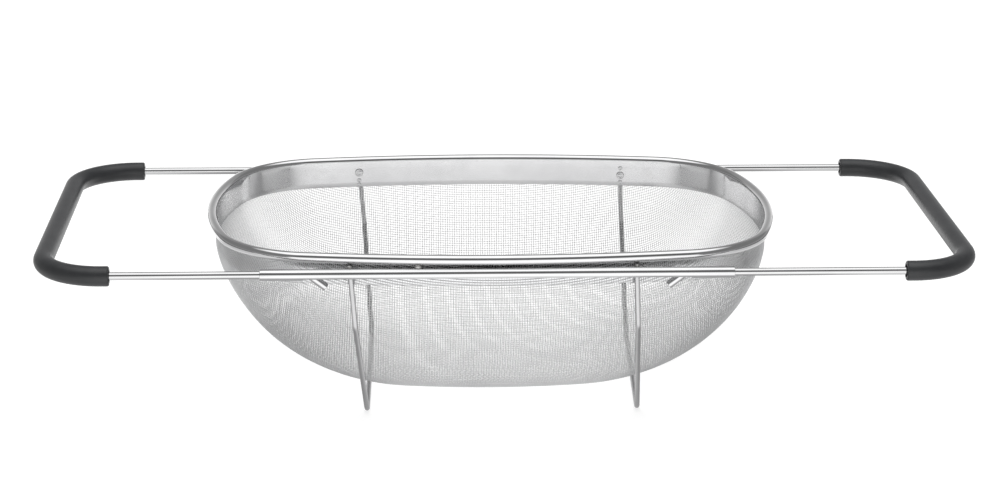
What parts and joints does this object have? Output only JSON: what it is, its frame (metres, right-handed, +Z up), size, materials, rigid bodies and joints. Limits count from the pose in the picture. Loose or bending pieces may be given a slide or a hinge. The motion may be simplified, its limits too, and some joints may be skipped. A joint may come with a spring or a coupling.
{
  "type": "over-sink strainer",
  "caption": "Oval woven-mesh strainer basket with a rolled steel rim, splayed wire feet and sliding U-shaped wire handles with rubber grips that reach across a sink.",
  "frame": {"origin": "on the surface the feet stand on, under the middle of the whole strainer with both handles pulled out", "axes": "+X runs along the oval towards the right handle, +Y towards the rear guide, +Z up out of the basket"},
  "size_m": [0.5674, 0.2488, 0.1146],
  "materials": {
    "rim_steel": "polished stainless steel sheet",
    "guide_steel": "polished stainless steel tube",
    "wire_steel": "polished stainless steel wire",
    "mesh_steel": "bright woven stainless wire cloth",
    "grip_rubber": "satin black rubber sleeve"
  },
  "bodies": {
    "basket": {"rim_band": "rim_steel", "rim_core_wire": "wire_steel", "mesh_basket": "mesh_steel", "front_guide_tube": "guide_steel", "rear_guide_tube": "guide_steel", "left_foot_wire": "wire_steel", "right_foot_wire": "wire_steel"},
    "left_handle": {"left_handle_rod": "wire_steel", "left_grip": "grip_rubber"},
    "right_handle": {"right_handle_rod": "wire_steel", "right_grip": "grip_rubber"}
  },
  "joints": [
    {"name": "left_handle_slide", "type": "slide", "parent": "basket", "child": "left_handle", "axis": [1, 0, 0], "range_m": [0, 0.0869]},
    {"name": "right_handle_slide", "type": "slide", "parent": "basket", "child": "right_handle", "axis": [-1, 0, 0], "range_m": [0, 0.1014]}
  ]
}
